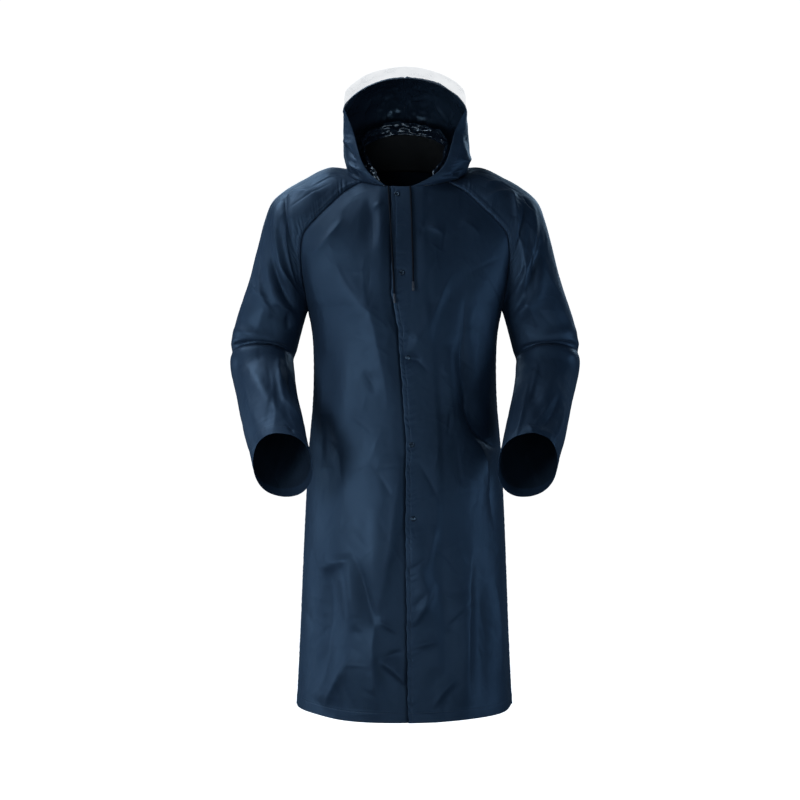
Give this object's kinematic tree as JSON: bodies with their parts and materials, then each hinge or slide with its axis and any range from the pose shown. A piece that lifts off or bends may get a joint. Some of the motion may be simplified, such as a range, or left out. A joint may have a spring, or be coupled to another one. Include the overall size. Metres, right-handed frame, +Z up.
{
  "type": "hooded raincoat",
  "caption": "Long hooded raincoat with raglan sleeves, snap front, drawcord hood and a clear visor, filled out as worn.",
  "frame": {"origin": "middle of the neck seam, level with the shoulders that carry the coat", "axes": "+Z up, the front faces -Y, the wearer's left towards +X"},
  "size_m": [0.783, 0.4327, 1.4141],
  "materials": {
    "coated_cloth": "navy woven cloth with a smooth, slightly shiny waterproof coating",
    "clear_sheet": "clear soft plastic sheet",
    "snap_metal": "dark enamelled snap cap",
    "cord": "round braided cord, navy black",
    "cord_tip": "shrunk plastic tube on the cord's end"
  },
  "bodies": {
    "root": {"front_left": "coated_cloth", "front_right": "coated_cloth", "back": "coated_cloth", "sleeve_left": "coated_cloth", "sleeve_right": "coated_cloth", "hood_left": "coated_cloth", "hood_right": "coated_cloth", "neck_band": "coated_cloth", "visor": "clear_sheet", "snap_1": "snap_metal", "snap_2": "snap_metal", "snap_3": "snap_metal", "snap_4": "snap_metal", "snap_5": "snap_metal", "drawcord_left": "cord", "drawcord_right": "cord", "cord_tip_left": "cord_tip", "cord_tip_right": "cord_tip"}
  },
  "joints": []
}
